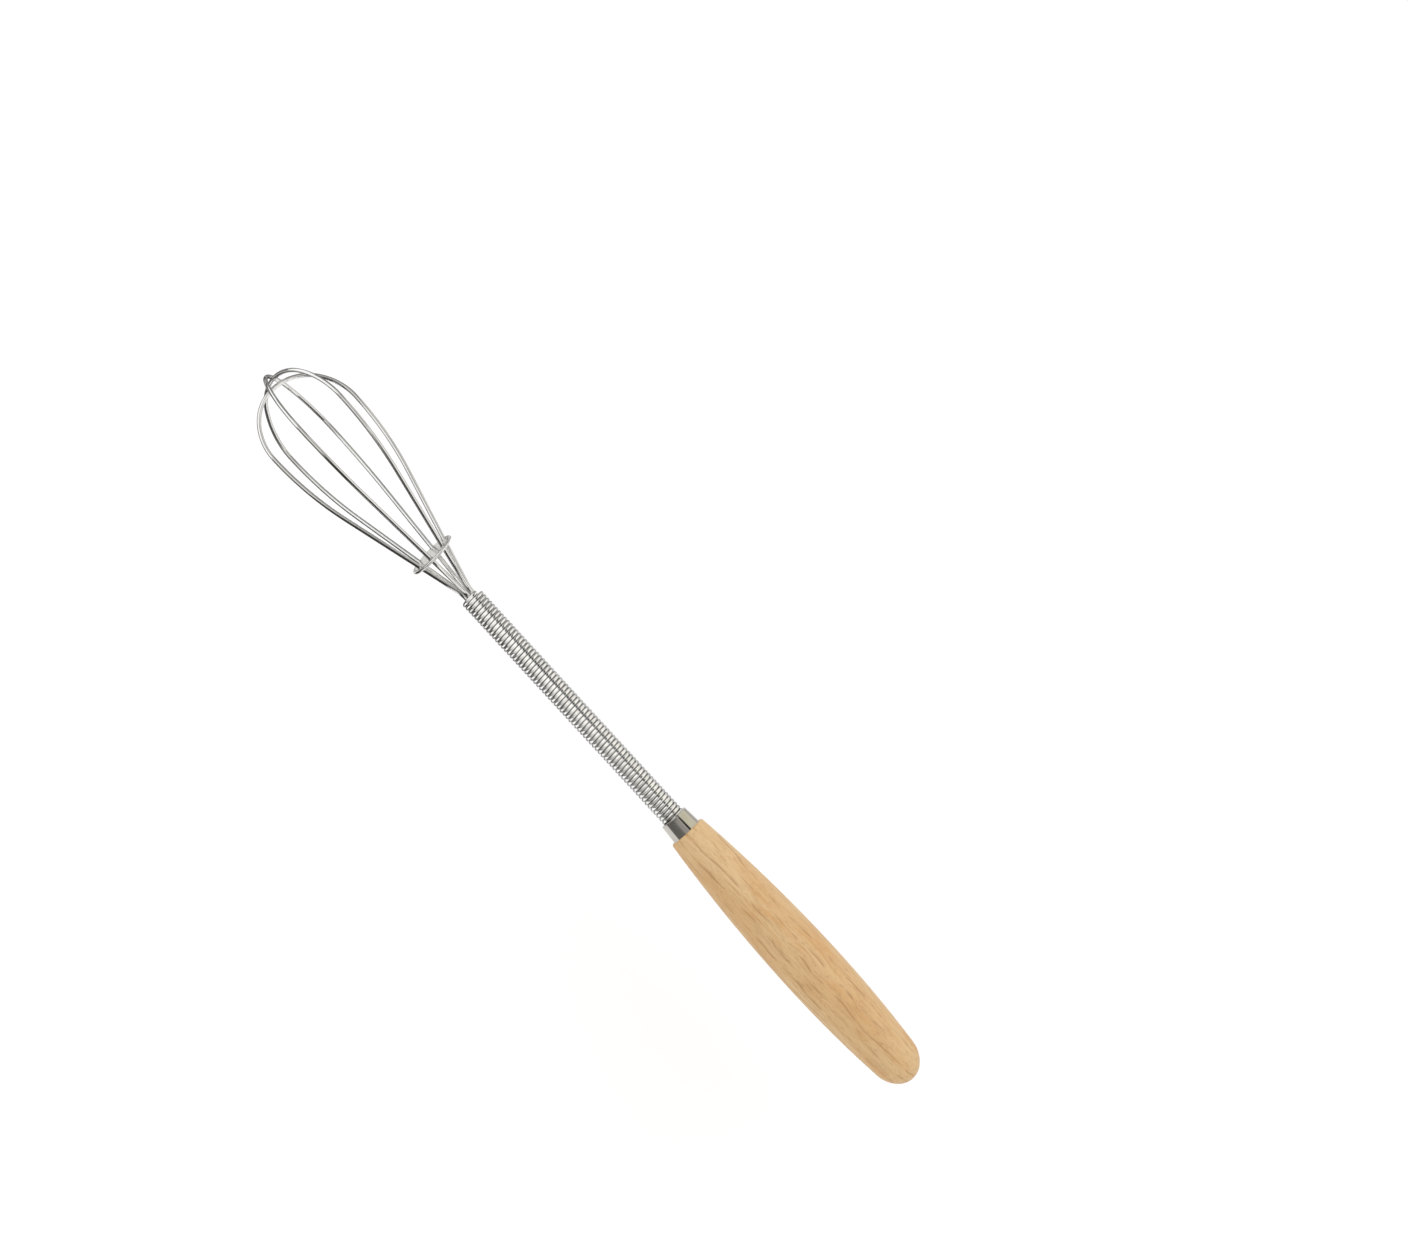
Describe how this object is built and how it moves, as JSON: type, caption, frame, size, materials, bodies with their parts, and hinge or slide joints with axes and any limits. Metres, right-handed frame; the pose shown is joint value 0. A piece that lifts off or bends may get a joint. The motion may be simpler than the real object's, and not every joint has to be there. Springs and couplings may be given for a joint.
{
  "type": "whisk",
  "caption": "Small hand whisk with a turned wooden handle, a steel ferrule, a close-wound wire coil over its neck and a balloon head of nested wire loops held apart by a small disc.",
  "frame": {"origin": "middle of the whisk's bounding box, on the axis of the handle", "axes": "+X along the whisk towards the head's tip, +Y in the plane of the innermost wire loop, +Z across that plane"},
  "size_m": [0.2056, 0.024, 0.021],
  "materials": {
    "handle_wood": "smooth turned beech, lightly oiled, satin",
    "ferrule_steel": "polished stainless steel sheet",
    "coil_steel": "polished stainless steel wire, close wound",
    "loop_steel": "polished stainless steel wire",
    "disc_steel": "polished stainless steel plate"
  },
  "bodies": {
    "root": {"handle": "handle_wood", "ferrule": "ferrule_steel", "neck_coil": "coil_steel", "inner_loop": "loop_steel", "middle_loop": "loop_steel", "outer_loop": "loop_steel", "retaining_disc": "disc_steel"}
  },
  "joints": []
}
